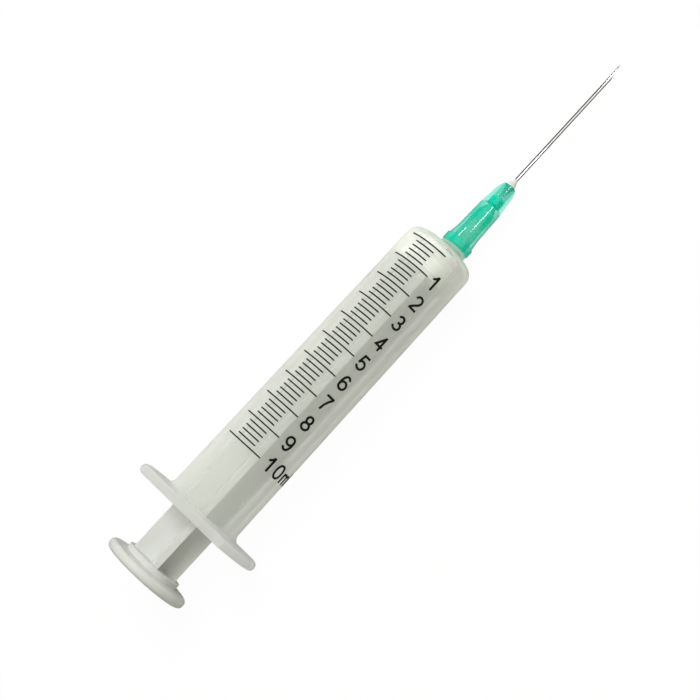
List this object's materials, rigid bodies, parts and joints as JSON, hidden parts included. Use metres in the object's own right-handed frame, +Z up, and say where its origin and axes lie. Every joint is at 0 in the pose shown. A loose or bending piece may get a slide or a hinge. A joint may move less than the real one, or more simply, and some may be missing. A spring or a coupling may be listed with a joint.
{
  "type": "luer slip syringe with hypodermic needle",
  "caption": "Two-piece 10 ml syringe with an off-centre slip tip, printed scale and a green-hub hypodermic needle pushed onto its nozzle.",
  "frame": {"origin": "on the surface it lies on, under the middle of the bounding box", "axes": "+X along the syringe towards the needle's point, +Y across it towards one wing of the finger flange, +Z up, out of the printed side. The barrel's own axis dips 1.1 degrees towards the needle, because the thumb rest is wider than the barrel's front end."},
  "size_m": [0.152, 0.0316, 0.0203],
  "materials": {
    "barrel_plastic": "translucent natural polypropylene, moulded gloss",
    "plunger_plastic": "translucent natural polyethylene, satin",
    "scale_ink": "black printed ink",
    "hub_plastic": "translucent green polypropylene",
    "adhesive": "cured clear to milky adhesive",
    "needle_steel": "drawn stainless steel tube, bright"
  },
  "bodies": {
    "barrel": {"barrel": "barrel_plastic", "graduation_scale": "scale_ink"},
    "plunger": {"plunger": "plunger_plastic"},
    "needle": {"needle_hub": "hub_plastic", "hub_adhesive": "adhesive", "cannula": "needle_steel"}
  },
  "joints": [
    {"name": "plunger_slide", "type": "slide", "parent": "barrel", "child": "plunger", "axis": [-0.9998, 0, 0.0192], "range_m": [0, 0.0611]},
    {"name": "needle_pull_off", "type": "slide", "parent": "barrel", "child": "needle", "axis": [0.9998, 0, -0.0192], "range_m": [0, 0.012]}
  ]
}
